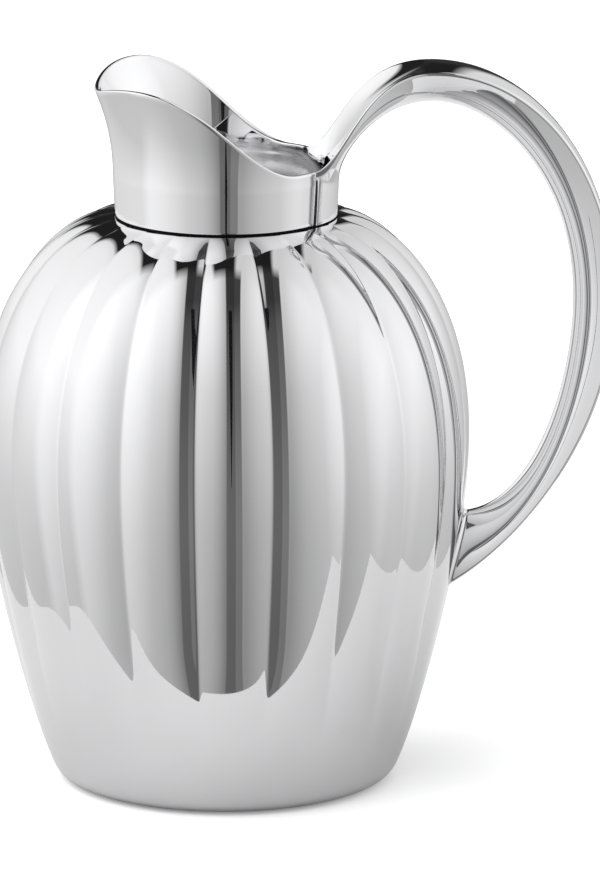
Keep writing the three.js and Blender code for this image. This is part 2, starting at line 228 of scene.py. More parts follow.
def cloud_node(tree, place, scale, detail):
    """Soft noise over a place in metres, with about as many patches in a metre as the scale says."""
    node = tree.nodes.new("ShaderNodeTexNoise")
    node.inputs["Scale"].default_value = scale
    node.inputs["Detail"].default_value = detail
    tree.links.new(place, node.inputs["Vector"])
    return node.outputs["Fac"]


def blend_node(tree, kind, share, first, second):
    """Goes from a first colour or number to a second by a share."""
    node = tree.nodes.new("ShaderNodeMix")
    node.data_type = kind
    for socket, value in (("Factor", share), ("A", first), ("B", second)):
        if isinstance(value, bpy.types.NodeSocket):
            tree.links.new(value, node.inputs[socket])
        else:
            node.inputs[socket].default_value = value
    return node.outputs["Result"]


def attribute_node(tree, name):
    """A number that the mesh carries at its points."""
    node = tree.nodes.new("ShaderNodeAttribute")
    node.attribute_name = name
    return node.outputs["Fac"]


def step_node(tree, value, low, high):
    """A straight rise from 0 at low to 1 at high."""
    node = tree.nodes.new("ShaderNodeMapRange")
    node.inputs["From Min"].default_value = low
    node.inputs["From Max"].default_value = high
    tree.links.new(value, node.inputs["Value"])
    return node.outputs["Result"]


HAIRLINES_ACROSS = 6000
HAIRLINES_ALONG = 70
CLOUD_SCALE = 55
HANDLING_SCALE = 19
WAVE_SCALE = 120
HANDLED_FROM = 0.54
HANDLED_TO = 0.74
CLOUD_DULLING = 0.6
HANDLING_DULLING = 0.5
CLOUD_ROUGHNESS = 0.02
HANDLING_ROUGHNESS = 0.018
HAIRLINE_ROUGHNESS = 0.014
HAIRLINE_DEPTH = 0.006
SATIN_ROUGHNESS = 0.2
SATIN_LINE_ROUGHNESS = 0.16
SATIN_LINE_DEPTH = 0.2
# Near-black colour and roughness painted into the joins between parts, as painted shade.
JOINT_SHADE = (0.035, 0.033, 0.032, 1)
JOINT_SHADE_ROUGHNESS = 0.55


def buffed_finish():
    """Mirror-buffed steel: hairlines along the buffing, soft clouds and faint marks of handling make
    it a little duller in places, and the sheet is very slightly wavy. Where the mesh says inside it
    is satin, and where the mesh marks a join between parts it is rough and painted near black, as painted
    shade in the join."""
    group, given, made = finish_group("buffed_finish")
    place = group.nodes.new("ShaderNodeTexCoord").outputs["Object"]
    lengths = group.nodes.new("ShaderNodeUVMap")
    lengths.uv_map = "lengths"
    drawn = group.nodes.new("ShaderNodeVectorMath")
    drawn.operation = "MULTIPLY"
    drawn.inputs[1].default_value = (HAIRLINES_ACROSS, HAIRLINES_ALONG, 1)
    group.links.new(lengths.outputs["UV"], drawn.inputs[0])
    hairline = cloud_node(group, drawn.outputs["Vector"], 1, 2)
    cloud = cloud_node(group, place, CLOUD_SCALE, 3)
    handled = step_node(group, cloud_node(group, place, HANDLING_SCALE, 5), HANDLED_FROM, HANDLED_TO)
    inside = attribute_node(group, "inside")
    joint_shade = attribute_node(group, "joint_shade")

    clouded = math_node(group, "MULTIPLY", cloud, CLOUD_DULLING)
    dulled = math_node(group, "MULTIPLY_ADD", handled, HANDLING_DULLING, clouded)
    colour = blend_node(group, "RGBA", dulled, given.outputs["Bright"], given.outputs["Dull"])
    # Painted shade: where the mesh marks a join between parts, the colour goes to near black.
    colour = blend_node(group, "RGBA", joint_shade, colour, JOINT_SHADE)
    group.links.new(colour, made.inputs["Color"])

    uneven = math_node(group, "MULTIPLY_ADD", cloud, CLOUD_ROUGHNESS, given.outputs["Roughness"])
    uneven = math_node(group, "MULTIPLY_ADD", handled, HANDLING_ROUGHNESS, uneven)
    uneven = math_node(group, "MULTIPLY_ADD", hairline, HAIRLINE_ROUGHNESS, uneven)
    satin = math_node(group, "MULTIPLY_ADD", hairline, SATIN_LINE_ROUGHNESS, SATIN_ROUGHNESS)
    roughness = blend_node(group, "FLOAT", inside, uneven, satin)
    roughness = blend_node(group, "FLOAT", joint_shade, roughness, JOINT_SHADE_ROUGHNESS)
    group.links.new(roughness, made.inputs["Roughness"])

    scored = math_node(group, "MULTIPLY_ADD", inside, SATIN_LINE_DEPTH, HAIRLINE_DEPTH)
    wave = cloud_node(group, place, WAVE_SCALE, 1)
    height = math_node(group, "MULTIPLY_ADD", hairline, scored, wave)
    group.links.new(height, made.inputs["Height"])
    return group


def metal(name, finish, bright, dull, roughness, relief):
    """A metal with a finish of its own colours and roughness. The relief is the depth in metres of
    the finish's fine height."""
    material = bpy.data.materials.new(name)
    material.use_nodes = True
    tree = material.node_tree
    shader = tree.nodes["Principled BSDF"]
    shader.inputs["Metallic"].default_value = 1
    node = tree.nodes.new("ShaderNodeGroup")
    node.node_tree = finish
    node.inputs["Bright"].default_value = (*bright, 1)
    node.inputs["Dull"].default_value = (*dull, 1)
    node.inputs["Roughness"].default_value = roughness
    bump = tree.nodes.new("ShaderNodeBump")
    bump.inputs["Distance"].default_value = relief
    tree.links.new(node.outputs["Color"], shader.inputs["Base Color"])
    tree.links.new(node.outputs["Roughness"], shader.inputs["Roughness"])
    tree.links.new(node.outputs["Height"], bump.inputs["Height"])
    tree.links.new(bump.outputs["Normal"], shader.inputs["Normal"])
    return material


BRIGHT_STEEL = (0.76, 0.76, 0.77)
DULL_STEEL = (0.7, 0.7, 0.71)
BELLY_ROUGHNESS = 0.012
BELLY_RELIEF = 7e-6
buffed = buffed_finish()

belly_outside = belly_skin(OUTSIDE_ROWS, 0)
belly_inside = belly_skin(INSIDE_ROWS, -BELLY_WALL)
belly_grid = np.vstack([belly_outside, belly_inside[::-1]])
belly_mesh = ring_mesh("belly_shell", belly_grid, True)
belly_within = np.zeros(belly_grid.shape[:2])
belly_within[len(belly_outside):] = 1
mark(belly_mesh, "inside", belly_within)
# Painted shade: the belly's outside in a narrow band at the neck bore, in the seam under the collar, is
# painted near black.
neck_distance = np.hypot(belly_grid[..., 0], belly_grid[..., 1]) - NECK_BORE_RADIUS
neck_shade = 1 - smooth(neck_distance, 0, SEAM_SHADE_WIDTH)
mark(belly_mesh, "joint_shade", neck_shade * (1 - belly_within))
belly_steel = metal("belly_steel", buffed, BRIGHT_STEEL, DULL_STEEL, BELLY_ROUGHNESS, BELLY_RELIEF)
belly_shell = show(belly_mesh, belly_steel)
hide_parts("lobed_belly")


# Base plate: a disc of the same steel, satin turned, let flush into the stand ring and welded all
# round. Its edge is broken by a small chamfer.
WELD_GAP = 0.0003
BASE_PLATE_THICKNESS = 0.001
BASE_EDGE_CHAMFER = 0.00025
BASE_COLUMNS = 180
GROOVE_SCALE = 3500
GROOVE_ROUGHNESS = 0.2
TURNED_CLOUD_SCALE = 90
BRIGHT_TURNED = (0.66, 0.66, 0.67)
DULL_TURNED = (0.52, 0.52, 0.53)
TURNED_ROUGHNESS = 0.2
TURNED_RELIEF = 1.2e-5

base_radius = STAND_RING_RADIUS - STAND_RING_WIDTH - WELD_GAP
base_profile = np.array([
    (base_radius - BASE_EDGE_CHAMFER, 0),
    (base_radius, BASE_EDGE_CHAMFER),
    (base_radius, BASE_PLATE_THICKNESS),
])


def turned(profile, columns):
    """A profile of radius and height carried round the axis, one ring for each of its points."""
    angle = np.linspace(0, 2 * math.pi, columns, endpoint=False)
    radius = profile[:, :1]
    height = profile[:, 1:] + 0 * angle
    return np.stack([radius * np.cos(angle), radius * np.sin(angle), height], axis=-1)


def turned_finish():
    """Satin steel from the lathe: fine grooves in rings round the axis, which are a noise over the
    radius alone, and soft clouds."""
    group, given, made = finish_group("turned_finish")
    place = group.nodes.new("ShaderNodeTexCoord").outputs["Object"]
    flat = group.nodes.new("ShaderNodeVectorMath")
    flat.operation = "MULTIPLY"
    flat.inputs[1].default_value = (1, 1, 0)
    group.links.new(place, flat.inputs[0])
    radius = group.nodes.new("ShaderNodeVectorMath")
    radius.operation = "LENGTH"
    group.links.new(flat.outputs["Vector"], radius.inputs[0])
    rings = group.nodes.new("ShaderNodeTexNoise")
    rings.noise_dimensions = "1D"
    rings.inputs["Scale"].default_value = GROOVE_SCALE
    rings.inputs["Detail"].default_value = 3
    group.links.new(radius.outputs["Value"], rings.inputs["W"])
    groove = rings.outputs["Fac"]
    cloud = cloud_node(group, place, TURNED_CLOUD_SCALE, 3)
    shade = math_node(group, "MULTIPLY_ADD", cloud, 0.5, math_node(group, "MULTIPLY", groove, 0.5))
    colour = blend_node(group, "RGBA", shade, given.outputs["Bright"], given.outputs["Dull"])
    group.links.new(colour, made.inputs["Color"])
    roughness = math_node(group, "MULTIPLY_ADD", groove, GROOVE_ROUGHNESS, given.outputs["Roughness"])
    group.links.new(roughness, made.inputs["Roughness"])
    group.links.new(groove, made.inputs["Height"])
    return group


base_mesh = ring_mesh("stand_plate", turned(base_profile, BASE_COLUMNS), False)
base_steel = metal(
    "base_steel", turned_finish(), BRIGHT_TURNED, DULL_TURNED, TURNED_ROUGHNESS, TURNED_RELIEF)
stand_plate = show(base_mesh, base_steel)
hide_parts("base_plate")


# Collar: a drawn tube with a flared pouring lip, cut to a rim that dips at the back and crests on
# both sides of the lip. A spigot below it plugs into the neck, and a slot takes the handle's root.
COLLAR_SEAM_RADIUS = 0.01935
FLARE_START_RADIUS = 0.0197
FLARE_START_RISE = 0.0076
FLARE_ARC_RADIUS = 0.038
COLLAR_WALL = 0.001
SPIGOT_DEPTH = 0.004
SPIGOT_WALL = 0.0008
FUNNEL_RISE = 0.0025
FOOT_ROUNDING = 0.0002
RIM_CROWN = 0.0003
RIM_DIP_RISE = 0.0096
RIM_CREST_RISE = 0.0252
LIP_TIP_RISE = 0.0228
RIM_DIP = math.radians(50)
RIM_CREST = math.radians(134)
ROOT_HALF_WIDTH = 0.012
# Width along each edge of the slot that is painted near black, as shade in the join with the handle's
# root.
ROOT_SHADE_WIDTH = 0.0002
SATIN_RISE = 0.008
COLLAR_COLUMNS = 280
COLLAR_OUTSIDE_ROWS = 48
COLLAR_RIM_ROWS = 10
COLLAR_INSIDE_ROWS = 40
SLOT_CROWDING = 0.92
FOOT_CROWDING = 1.6
# The lower part of the foot's rounding, past this share, is painted near black as shade in the seam.
FOOT_SHADE_SHARE = 0.5

collar_foot = SEAM_HEIGHT + WELD_GAP
flare_start = SEAM_HEIGHT + FLARE_START_RISE
spigot_outside = NECK_BORE_RADIUS - WELD_GAP
spigot_bore = spigot_outside - SPIGOT_WALL


def collar_radius(height):
    """Outside radius by height: a slight straight taper, then the arc of the flare."""
    below = np.minimum(height - SEAM_HEIGHT, FLARE_START_RISE) / FLARE_START_RISE
    above = np.clip(height - flare_start, 0, FLARE_ARC_RADIUS)
    taper = COLLAR_SEAM_RADIUS + (FLARE_START_RADIUS - COLLAR_SEAM_RADIUS) * below
    return taper + FLARE_ARC_RADIUS - np.sqrt(FLARE_ARC_RADIUS**2 - above**2)


def bore_radius(height):
    """Inside radius by height: the outside less the wall, drawn in at the foot to the spigot's bore
    by an S-shaped funnel."""
    open_bore = collar_radius(height) - COLLAR_WALL
    opened = smooth(height, collar_foot, collar_foot + FUNNEL_RISE)
    return spigot_bore + (open_bore - spigot_bore) * opened


def rim_height(angle):
    """Height of the rim by the angle from the handle: level at the back, a half wave up to the crest
    and a half wave down to the tip of the lip."""
    away = np.abs((angle + math.pi) % (2 * math.pi) - math.pi)
    climb = np.clip((away - RIM_DIP) / (RIM_CREST - RIM_DIP), 0, 1)
    fall = np.clip((away - RIM_CREST) / (math.pi - RIM_CREST), 0, 1)
    up = (RIM_CREST_RISE - RIM_DIP_RISE) * (1 - np.cos(math.pi * climb)) / 2
    down = (RIM_CREST_RISE - LIP_TIP_RISE) * (1 - np.cos(math.pi * fall)) / 2
    return SEAM_HEIGHT + RIM_DIP_RISE + up - down


def collar_strip():
    """The collar as a grid, one closed section in each row: up the outside, over the rim by half an
    ellipse, down the inside and back along the foot. The rows go round from one edge of the slot to
    the other, crowd towards both edges by a sine, and lean so that each edge is a plane. Also gives
    the painted shade at the foot's rounding and along the slot's edges, and how far inside each point is."""
    even = np.linspace(0, 1, COLLAR_COLUMNS)[:, None]
    round_share = even - SLOT_CROWDING * np.sin(2 * math.pi * even) / (2 * math.pi)
    edge = math.asin(ROOT_HALF_WIDTH / FLARE_START_RADIUS)
    rim = rim_height(edge + (2 * math.pi - 2 * edge) * round_share)
    to_slot = np.minimum(round_share, 1 - round_share) * 2 * (math.pi - edge) * FLARE_START_RADIUS
    # Painted shade along both edges of the slot.
    slot_shade = 1 - smooth(to_slot, 0, ROOT_SHADE_WIDTH)

    rise = np.linspace(0, 1, COLLAR_OUTSIDE_ROWS) ** FOOT_CROWDING
    outside_height = collar_foot + (rim - collar_foot) * rise
    above_foot = np.clip(1 - (outside_height - collar_foot) / FOOT_ROUNDING, 0, 1)
    rounding = FOOT_ROUNDING * (1 - np.sqrt(1 - above_foot**2))
    outside_radius = collar_radius(outside_height) - rounding

    over = np.linspace(0, math.pi, COLLAR_RIM_ROWS + 2)[1:-1]
    crown_height = rim + RIM_CROWN * np.sin(over)
    crown_radius = collar_radius(rim) - COLLAR_WALL / 2 * (1 - np.cos(over))

    drop = np.linspace(0, 1, COLLAR_INSIDE_ROWS)
    inside_height = rim + (collar_foot - rim) * drop
    inside_radius = bore_radius(inside_height)

    radius = np.hstack([outside_radius, crown_radius, inside_radius])
    height = np.hstack([outside_height, crown_height, inside_height])
    slot_edge = np.arcsin(ROOT_HALF_WIDTH / radius)
    angle = slot_edge + (2 * math.pi - 2 * slot_edge) * round_share
    # Painted shade on the outside: the lowest part of the foot's rounding and the slot's edges are marked
    # near black.
    painted_shade = np.zeros_like(radius)
    painted_shade[:, :COLLAR_OUTSIDE_ROWS] = np.maximum(slot_shade, above_foot > FOOT_SHADE_SHARE)
    within = np.zeros_like(radius)
    polished = smooth(inside_height, collar_foot, collar_foot + SATIN_RISE)
    within[:, -COLLAR_INSIDE_ROWS:] = 1 - polished
    places = np.stack([radius * np.cos(angle), radius * np.sin(angle), height], axis=-1)
    return places, painted_shade, within


collar_grid, collar_shade, collar_within = collar_strip()
collar_mesh = ring_mesh("lipped_collar", collar_grid[:, ::-1], False)
# Painted shade in the joins, for the finish to read.
mark(collar_mesh, "joint_shade", collar_shade[:, ::-1])
mark(collar_mesh, "inside", collar_within[:, ::-1])
BRIGHT_FITTING = (0.84, 0.84, 0.85)
DULL_FITTING = (0.79, 0.79, 0.8)
FITTING_ROUGHNESS = 0.01
FITTING_RELIEF = 4e-6
collar_steel = metal(
    "collar_steel", buffed, BRIGHT_FITTING, DULL_FITTING, FITTING_ROUGHNESS, FITTING_RELIEF)
lipped_collar = show(collar_mesh, collar_steel)
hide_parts("pouring_collar")

spigot_end = SEAM_HEIGHT - SPIGOT_DEPTH
spigot_profile = np.array([
    (spigot_bore, spigot_end),
    (spigot_outside, spigot_end),
    (spigot_outside, collar_foot),
    (spigot_bore, collar_foot),
])
spigot_mesh = ring_mesh("collar_spigot", turned(spigot_profile, BASE_COLUMNS), True)
# Painted shade: the spigot's outside faces, in the gap under the collar, are painted near black; its
# inside faces are satin.
spigot_within = np.repeat([1, 0, 0, 1], BASE_COLUMNS)
mark(spigot_mesh, "inside", spigot_within)
mark(spigot_mesh, "joint_shade", 1 - spigot_within)
collar_spigot = show(spigot_mesh, collar_steel)


# Handle: one solid casting, polished all over. Its root is a strip of the collar's wall, whose rim
# lines run on as the handle's edges. It thickens to a D with flattened sides over the arch, and its
# foot is cut to the belly and welded with a small fillet.
HANDLE_TOP_HEIGHT = 0.1287
ARCH_CENTRE_REACH = 0.0366
HANDLE_REACH = 0.0693
HANDLE_REACH_HEIGHT = 0.0861
ARCH_THICKNESS = 0.0067
GRIP_THICKNESS = 0.0074
ROOT_STRAIGHT_RISE = 0.0062
FOOT_TIP_HEIGHT = 0.0358
FOOT_GRIP_HEIGHT = 0.0476
FOOT_TIP_SLOPE = math.radians(31.6)
FOOT_GRIP_SLOPE = math.radians(2.3)
FOOT_SINK = 0.005
FOOT_BURY = 0.0003
FOOT_FILLET = 0.0009

OUTER_PULLS = (0.006, 0.0141, 0.0178, 0.0248, 0.0228, 0.0153)
GRIP_PULLS = (0.0054, 0.0108, 0.0107, 0.023, 0.0154, 0.0126)

ARCH_HALF_WIDTH = 0.0067
GRIP_HALF_WIDTH = 0.0058
FOOT_HALF_WIDTH = 0.0062
ARCH_FLANK_LEAN = math.radians(31)
GRIP_FLANK_LEAN = math.radians(22)
FOOT_FLANK_LEAN = math.radians(10)
ROUND_POWER = 2.2
FLANK_POWER = 5
ROOT_PROUD = 0.0006
OUTER_FACE_CROWN = 0.0004
EDGE_THICKNESS = 0.0005
ROOT_EDGE_ROUNDING = 0.0001
ARCH_EDGE_ROUNDING = 0.0004
WALL_GROWTH_POWER = 2.5
EDGE_THIN_SHARE = 0.35
ROOT_ROUNDNESS = 0.12

HANDLE_ROWS = (14, 66, 76, 76, 12)
FACE_COLUMNS = 28
EDGE_COLUMNS = 6
GRIP_COLUMNS = 96
FOOT_FIT_ROWS = 34
# Columns at each edge of the root's grip side that are painted near black, as shade in the join with the
# slot.
ROOT_SHADE_COLUMNS = 9
SIDE_ROWS = (2, 2, 400, 2)
LEAST_SPAN = 1e-12


def crest_radius(height):
    """Radius of the belly's crests by height, read off its side between the foot and the widest place."""
    places, _ = belly_outline(SIDE_ROWS)
    start = sum(SIDE_ROWS[:2])
    side = places[start:start + SIDE_ROWS[2]]
    return np.interp(height, side[:, 1], side[:, 0])


def foot_ends(height, slope):
    """Where a line of the handle meets the crests of the belly, and its direction there."""
    meets = np.array([crest_radius(height), height])
    return meets, np.array([math.cos(slope), math.sin(slope)])


def handle_line(root, bend, bend_tangent, top, reach, foot, pulls):
    """One long line of the handle, in five stretches: straight up the root, and then Bezier curves
    over to the arch, out to the reach, back to the foot, and straight on into the belly. Each pull
    is how far an end of a curve runs straight on before it bends."""
    meets, along = foot
    arch = np.array([ARCH_CENTRE_REACH, top])
    far = np.array([reach, HANDLE_REACH_HEIGHT])
    stretches = [
        [root, bend],
        [bend, bend + np.multiply(bend_tangent, pulls[0]), arch - (pulls[1], 0), arch],
        [arch, arch + (pulls[2], 0), far + (0, pulls[3]), far],
        [far, far - (0, pulls[4]), meets + along * pulls[5], meets],
        [meets, meets - along * FOOT_SINK],
    ]
    shares = [np.linspace(0, 1, count, endpoint=False) for count in HANDLE_ROWS]
    shares[-1] = np.append(shares[-1], 1)
    return np.vstack([bezier(points, share)[0] for points, share in zip(stretches, shares)])


def arc_depth(rise, half, across):
    """Depth, at a share across, of an arc of a circle that spans the half width with a rise. Written
    as a quotient, so that it also holds for a flat and for a hollow arc."""
    spread = half**2 + rise**2
    level = half**2 - rise**2
    reach = np.sqrt(np.maximum(spread**2 - (2 * rise * half * across) ** 2, 0))
    return 2 * rise * half**2 * (1 - across**2) / np.maximum(reach + level, LEAST_SPAN)


def edge_reach(radius):
    """How far from the axis plane a circle is where the root's edges cross it."""
    return np.sqrt(radius**2 - ROOT_HALF_WIDTH**2)


def between(values, stretch, share):
    """A value that goes from one end of each stretch of the handle to the other by a share."""
    values = np.array(values)
    return (values[stretch] + (values[stretch + 1] - values[stretch]) * share)[:, None]


def handle_loft():
    """The handle as a grid, one closed section in each row: across the outer face by an arc, round
    one edge by a quarter ellipse, along the grip side, and round the other edge. The grip side is
    an arc at the root. At the arch its flanks lean in by an angle, and its width is that of the
    leaning flanks times the root of one less a power of the share of the depth."""
    root_rim = SEAM_HEIGHT + RIM_DIP_RISE
    root_bend = SEAM_HEIGHT + ROOT_STRAIGHT_RISE
    proud = collar_radius(np.array([collar_foot, root_bend])) + ROOT_PROUD
    outer = handle_line(
        np.array([edge_reach(spigot_bore), collar_foot]),
        np.array([edge_reach(bore_radius(root_rim)), root_rim]), (1, 0),
        HANDLE_TOP_HEIGHT - OUTER_FACE_CROWN, HANDLE_REACH - OUTER_FACE_CROWN,
        foot_ends(FOOT_TIP_HEIGHT, FOOT_TIP_SLOPE), OUTER_PULLS)
    grip = handle_line(
        np.array([proud[0], collar_foot]), np.array([proud[1], root_bend]), (0, 1),
        HANDLE_TOP_HEIGHT - ARCH_THICKNESS, HANDLE_REACH - GRIP_THICKNESS,
        foot_ends(FOOT_GRIP_HEIGHT, FOOT_GRIP_SLOPE), GRIP_PULLS)
    root_height = np.minimum(outer[:, 1], root_rim)
    root_rows = HANDLE_ROWS[0]
    outer[:root_rows, 0] = edge_reach(bore_radius(root_height[:root_rows]))

    stretch = np.concatenate([np.full(n, i) for i, n in enumerate(HANDLE_ROWS)] + [[4]])
    share = np.concatenate([np.linspace(0, 1, n, endpoint=False) for n in HANDLE_ROWS] + [[1]])
    climb = np.clip(stretch - 1 + share, 0, 1)[:, None]
    eased = smooth(share, 0, 1)
    width_share = np.where(stretch == 1, smooth(share**2, 0, 1), eased)
    half = between([
        ROOT_HALF_WIDTH, ROOT_HALF_WIDTH, ARCH_HALF_WIDTH, GRIP_HALF_WIDTH, FOOT_HALF_WIDTH,
        FOOT_HALF_WIDTH,
    ], stretch, width_share)
    lean = between([
        0, 0, ARCH_FLANK_LEAN, GRIP_FLANK_LEAN, FOOT_FLANK_LEAN, FOOT_FLANK_LEAN,
    ], stretch, eased)
    power = between([
        ROUND_POWER, ROUND_POWER, FLANK_POWER, FLANK_POWER, ROUND_POWER, ROUND_POWER,
    ], stretch, eased)

    inward = grip - outer
    depth = np.linalg.norm(inward, axis=1, keepdims=True)
    inward = inward / depth
    funnel = collar_radius(root_height) - COLLAR_WALL - bore_radius(root_height)
    root_wall = COLLAR_WALL + ROOT_PROUD + np.where(climb > 0, 0, funnel[:, None])
    wall = root_wall + (ARCH_THICKNESS - root_wall) * climb**WALL_GROWTH_POWER
    hollow = np.where(climb < 1, depth - wall, -OUTER_FACE_CROWN)
    flush = edge_reach(collar_radius(root_height)) - edge_reach(bore_radius(root_height))
    thin = smooth(climb, 0, EDGE_THIN_SHARE)
    edge = flush[:, None] + (EDGE_THICKNESS - flush[:, None]) * thin
    growth = smooth(climb, 0, 1)
    roundness = ROOT_ROUNDNESS + (1 - ROOT_ROUNDNESS) * growth
    rounding = ROOT_EDGE_ROUNDING + (ARCH_EDGE_ROUNDING - ROOT_EDGE_ROUNDING) * growth

    face = np.linspace(1, -1, FACE_COLUMNS)
    face_half = half - rounding
    face_depth = arc_depth(hollow, face_half, face)
    turn = np.linspace(0, math.pi / 2, EDGE_COLUMNS + 2)[1:-1]
    edge_half = face_half + rounding * np.sin(turn)
    edge_depth = edge * (1 - np.cos(turn))
    sweep = np.linspace(-math.pi / 2, math.pi / 2, GRIP_COLUMNS)
    sunk = np.cos(sweep)
    full = (depth - edge) * sunk
    side = np.sign(sweep) * (1 - full * np.tan(lean) / half) * np.sqrt(1 - sunk**power)
    arc = arc_depth(depth - edge, half, side)
    grip_depth = edge + arc + (full - arc) * roundness

    across = np.hstack([face_half * face, -edge_half, half * side, edge_half[:, ::-1]])
    deep = np.hstack([face_depth, edge_depth, grip_depth, edge_depth[:, ::-1]])
    return np.stack([
        outer[:, :1] + inward[:, :1] * deep,
        across,
        outer[:, 1:] + inward[:, 1:] * deep,
    ], axis=-1)


def above_belly(places):
    """How far points are outside the belly's skin, measured level."""
    crest = crest_radius(places[..., 2])
    turn = np.arctan2(places[..., 1], places[..., 0]) / (2 * math.pi)
    skin = crest - lobe_depth(crest, places[..., 2]) * lobe_press(turn)
    return np.hypot(places[..., 0], places[..., 1]) - skin


def fitted_to_belly(loft):
    """The same loft with each long line ended a little under the belly's skin. The crossing is found
    between two rows, the last rows of the line crowd up to it, and near the skin the section flares
    out by a quarter circle as a weld's fillet."""
    outside = above_belly(loft) + FOOT_BURY
    first = loft.shape[0] - FOOT_FIT_ROWS
    last = first + np.argmax(outside[first:] < 0, axis=0)
    line = np.arange(loft.shape[1])
    before, after = outside[last - 1, line], outside[last, line]
    crossing = last - 1 + before / (before - after)
    rows = 1 - (1 - np.linspace(0, 1, FOOT_FIT_ROWS)[:, None]) ** 2
    wanted = first + rows * (crossing - first)
    low = np.floor(wanted).astype(int)
    high = np.minimum(low + 1, loft.shape[0] - 1)
    part = (wanted - low)[..., None]
    fitted = loft.copy()
    fitted[first:] = loft[low, line] * (1 - part) + loft[high, line] * part

    inset = np.clip(1 - above_belly(fitted) / FOOT_FILLET, 0, 1)
    flare = FOOT_FILLET * (1 - np.sqrt(1 - inset**2))
    flare[:first] = 0
    outward = fitted - fitted.mean(axis=1, keepdims=True)
    outward /= np.linalg.norm(outward, axis=2, keepdims=True)
    return fitted + outward * flare[..., None]


handle_grid = fitted_to_belly(handle_loft())
handle_mesh = ring_mesh("handle_loop", handle_grid, False)
# Painted shade: a few columns at each edge of the root's grip side, where it meets the collar's slot, are
# painted near black.
root_shade = np.zeros(handle_grid.shape[:2])
grip_start = FACE_COLUMNS + EDGE_COLUMNS
grip_end = grip_start + GRIP_COLUMNS
root_shade[:HANDLE_ROWS[0], grip_start:grip_start + ROOT_SHADE_COLUMNS] = 1
root_shade[:HANDLE_ROWS[0], grip_end - ROOT_SHADE_COLUMNS:grip_end] = 1
mark(handle_mesh, "joint_shade", root_shade)
handle_steel = metal(
    "handle_steel", buffed, BRIGHT_FITTING, DULL_FITTING, FITTING_ROUGHNESS, FITTING_RELIEF)
handle_loop = show(handle_mesh, handle_steel)
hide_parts("loop_handle")


# Studio: a camera a little above the jug, a white floor, and soft white light from both sides with
# a dark gap between, which runs up in front of the jug, over it and down behind.
scene = bpy.context.scene
scene.view_settings.view_transform = "Standard"

CAMERA_PLACE = (-0.047856, -1.348018, 0.379936)
CAMERA_TILT = math.radians(13.272)
CAMERA_TURN = math.radians(-2.6)
FOCAL_LENGTH = 322.3
SENSOR_WIDTH = 36

camera_data = bpy.data.cameras.new("camera")
camera_data.lens = FOCAL_LENGTH
camera_data.sensor_width = SENSOR_WIDTH
camera = bpy.data.objects.new("camera", camera_data)
camera.location = CAMERA_PLACE
camera.rotation_euler = (math.pi / 2 - CAMERA_TILT, 0, CAMERA_TURN)
scene.collection.objects.link(camera)
scene.camera = camera


def stage_sheet(name, points, faces, material):
    """A sheet of the studio, which isn't a part of the jug."""
    mesh = bpy.data.meshes.new(name)
    mesh.from_pydata(points, [], faces)
    mesh.materials.append(material)
    sheet = bpy.data.objects.new(name, mesh)
    scene.collection.objects.link(sheet)
    return sheet


def only_in_reflections(sheet):
    """Lets a sheet be seen in the steel, and nowhere else."""
    sheet.visible_camera = False
    sheet.visible_diffuse = False
    sheet.visible_shadow = False


def paper_white(name, albedo, glow):
    """White paper: a diffuse white with a little light of its own, which lifts it to a full white
    where nothing shades it."""
    material = bpy.data.materials.new(name)
    material.use_nodes = True
    tree = material.node_tree
    tree.nodes.clear()
    diffuse = tree.nodes.new("ShaderNodeBsdfDiffuse")
    diffuse.inputs["Color"].default_value = (albedo, albedo, albedo, 1)
    emission = tree.nodes.new("ShaderNodeEmission")
    path = tree.nodes.new("ShaderNodeLightPath")
    seen = math_node(tree, "MAXIMUM", path.outputs["Is Camera Ray"], path.outputs["Is Glossy Ray"])
    tree.links.new(math_node(tree, "MULTIPLY", seen, glow), emission.inputs["Strength"])
    total = tree.nodes.new("ShaderNodeAddShader")
    tree.links.new(diffuse.outputs[0], total.inputs[0])
    tree.links.new(emission.outputs[0], total.inputs[1])
    output = tree.nodes.new("ShaderNodeOutputMaterial")
    tree.links.new(total.outputs[0], output.inputs["Surface"])
    return material


FLOOR_HALF = 4
FLOOR_DROP = 0.0001
FLOOR_WHITE = 0.94
FLOOR_GLOW = 0.2
floor_corners = [(x, y, -FLOOR_DROP) for x, y in ((-1, -1), (1, -1), (1, 1), (-1, 1))]
floor_points = np.array(floor_corners) * (FLOOR_HALF, FLOOR_HALF, 1)
floor_paper = paper_white("floor_paper", FLOOR_WHITE, FLOOR_GLOW)
floor = stage_sheet("floor", floor_points, [(0, 1, 2, 3)], floor_paper)
floor.visible_glossy = False

TABLE_LEFT = 0.099
TABLE_FRONT = 0.0635
TABLE_RIGHT = 0.12
TABLE_BACK = 0.35
TABLE_CORNER_POWER = 2.3
TABLE_CORNER_STEPS = 24
TABLE_DROP = 0.00005
TABLE_WHITE = 0.62
TABLE_GLOW = 0.05


def turned_with_camera(across, depth):
    """Places on the floor, given across the picture and away from the camera, from above."""
    return np.column_stack([
        across * math.cos(CAMERA_TURN) - depth * math.sin(CAMERA_TURN),
        across * math.sin(CAMERA_TURN) + depth * math.cos(CAMERA_TURN),
    ])


